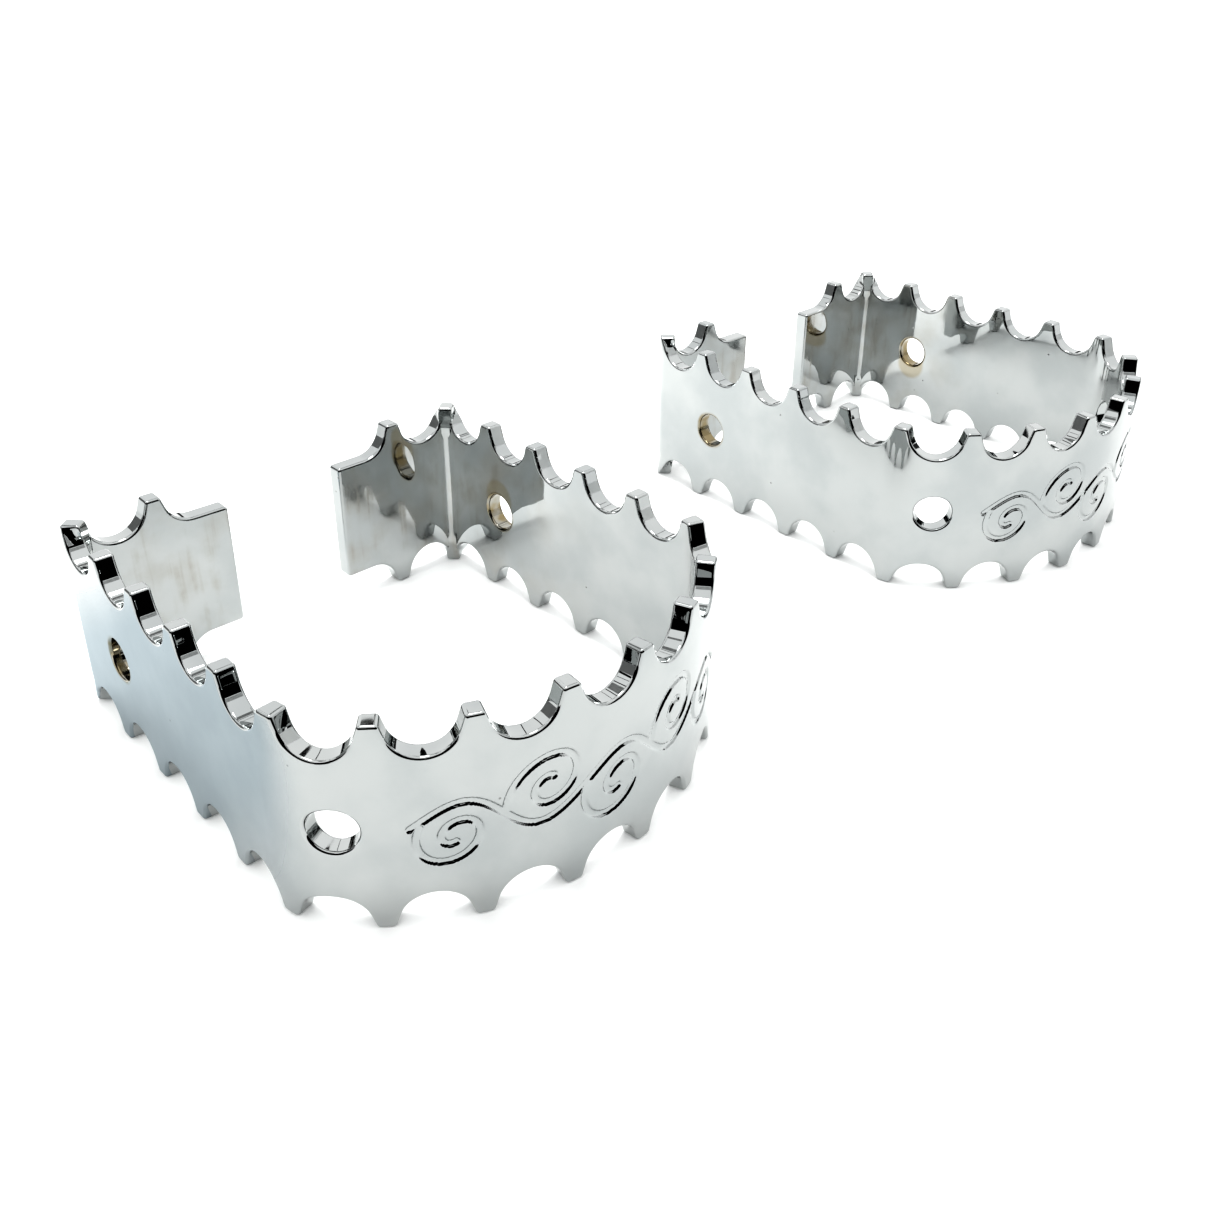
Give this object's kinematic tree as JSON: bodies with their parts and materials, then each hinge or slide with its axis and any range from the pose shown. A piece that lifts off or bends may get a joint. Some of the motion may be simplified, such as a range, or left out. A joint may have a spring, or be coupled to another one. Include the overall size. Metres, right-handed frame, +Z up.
{
  "type": "bmx pedal cage pair",
  "caption": "Pair of toothed chrome pedal cages, each a D-shaped loop of bent plate with scalloped edges, bolt holes and a gap on the inboard side for the spindle.",
  "frame": {"origin": "on the plane of the lower tooth tips, midway between the two cages and midway along them", "axes": "+Z up along the plate's height, +X from the left cage to the right cage, -Y towards both bowed outboard ends, +Y towards the inboard gaps"},
  "size_m": [0.1964, 0.0832, 0.031],
  "materials": {
    "chrome_plate": "mirror chrome plating over steel plate"
  },
  "bodies": {
    "root": {"cage_left": "chrome_plate", "cage_right": "chrome_plate"}
  },
  "joints": []
}
